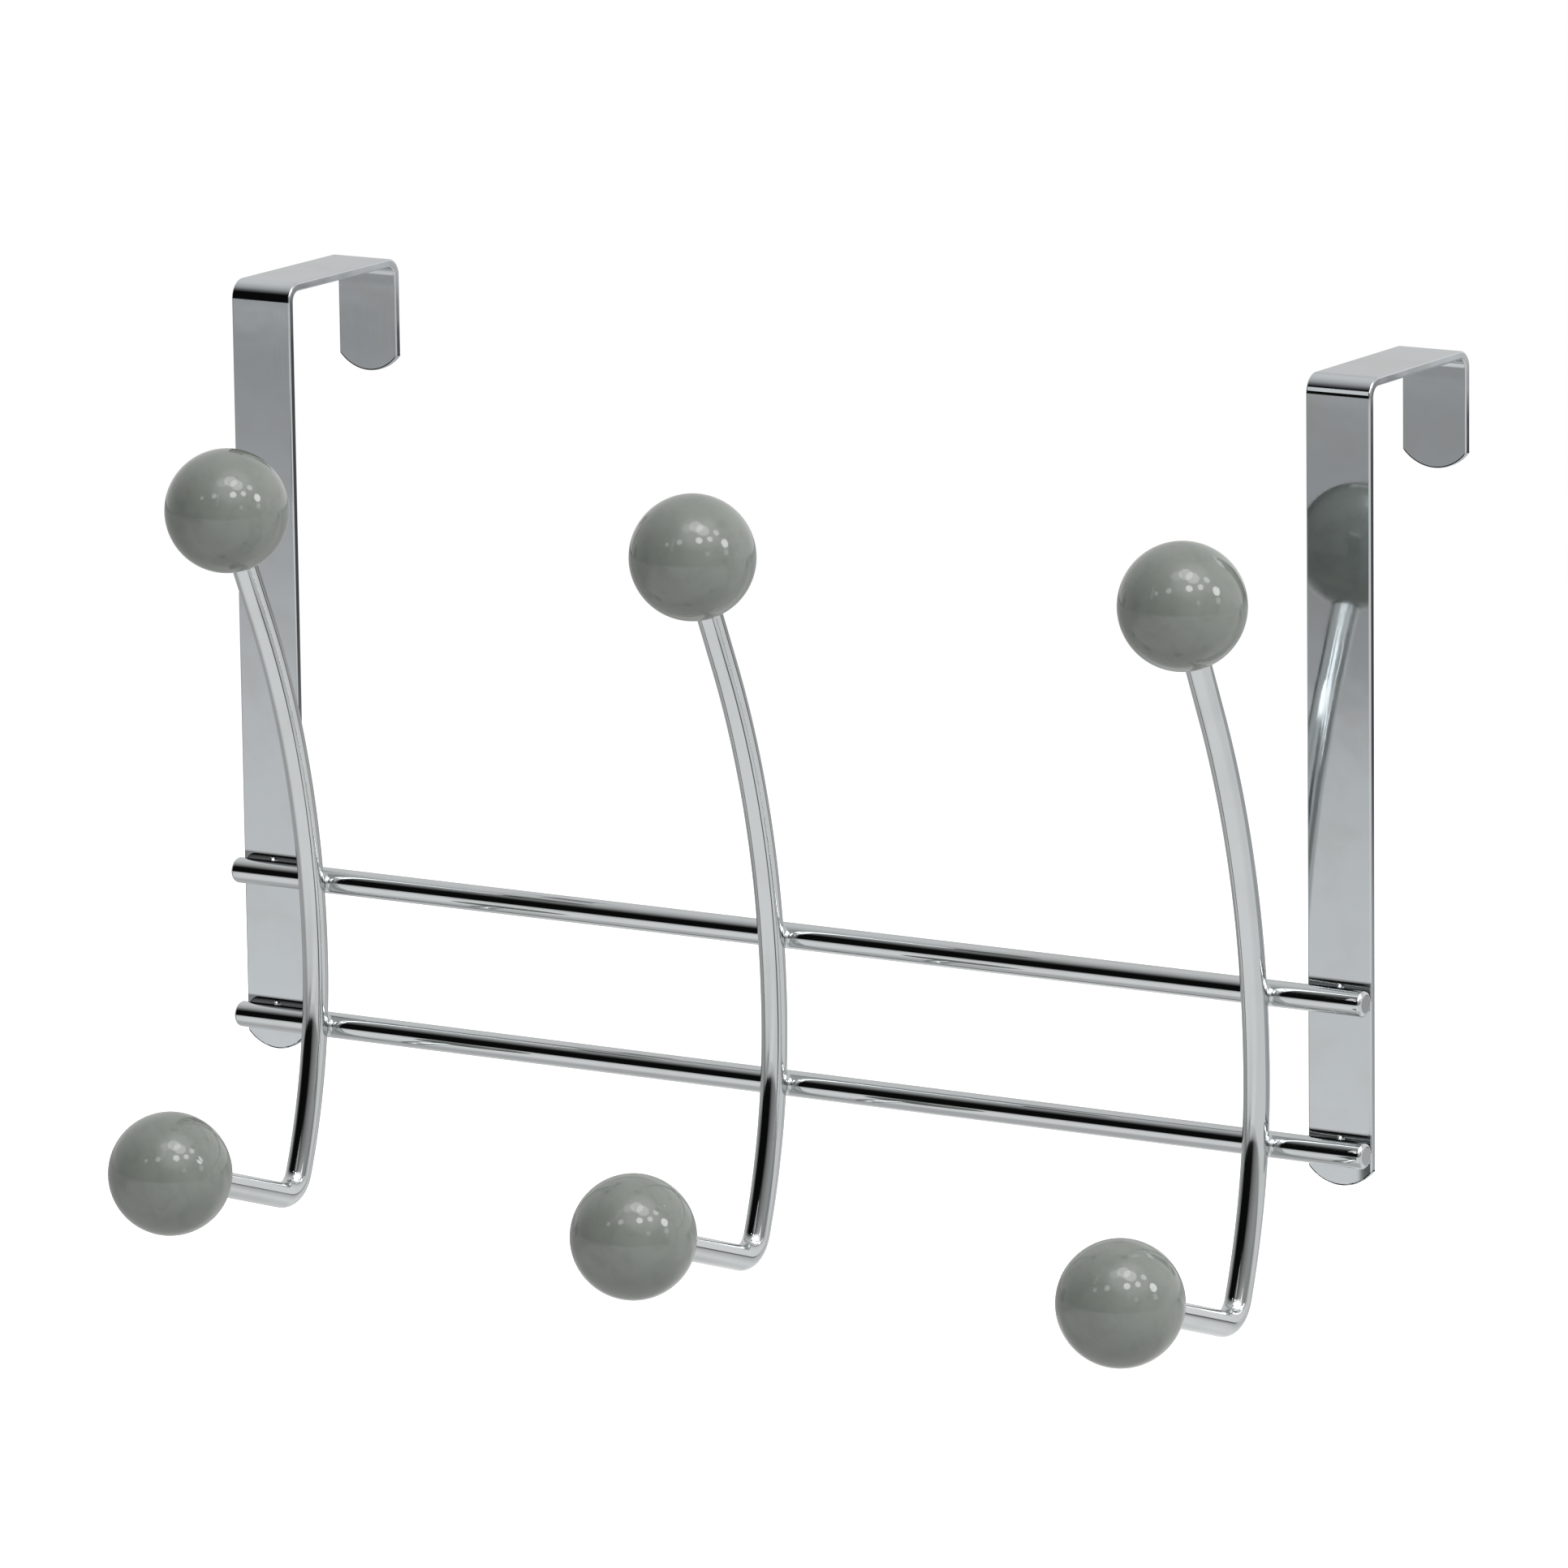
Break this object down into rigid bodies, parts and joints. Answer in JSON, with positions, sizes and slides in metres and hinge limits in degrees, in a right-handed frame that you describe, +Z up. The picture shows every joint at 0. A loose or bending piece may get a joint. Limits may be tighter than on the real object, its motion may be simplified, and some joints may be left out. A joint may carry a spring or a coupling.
{
  "type": "over door hook rack",
  "caption": "Chrome wire coat rack hung over a door by folded straps, with bowed wire hooks welded across horizontal rods and a ball knob on each hook tip.",
  "frame": {"origin": "the door's top front edge, midway between the straps: bridge undersides at z = 0, leg backs at y = 0", "axes": "+X to the right seen from the front, +Y into the door, +Z up"},
  "size_m": [0.3098, 0.1341, 0.2201],
  "materials": {
    "chrome": "bright chrome plate on steel, polished",
    "knob_grey": "glossy moulded plastic, warm grey"
  },
  "bodies": {
    "root": {"door_strap_left": "chrome", "door_strap_right": "chrome", "upper_cross_rod": "chrome", "lower_cross_rod": "chrome", "hook_left": "chrome", "hook_middle": "chrome", "hook_right": "chrome", "knob_upper_left": "knob_grey", "knob_upper_middle": "knob_grey", "knob_upper_right": "knob_grey", "knob_lower_left": "knob_grey", "knob_lower_middle": "knob_grey", "knob_lower_right": "knob_grey"}
  },
  "joints": []
}
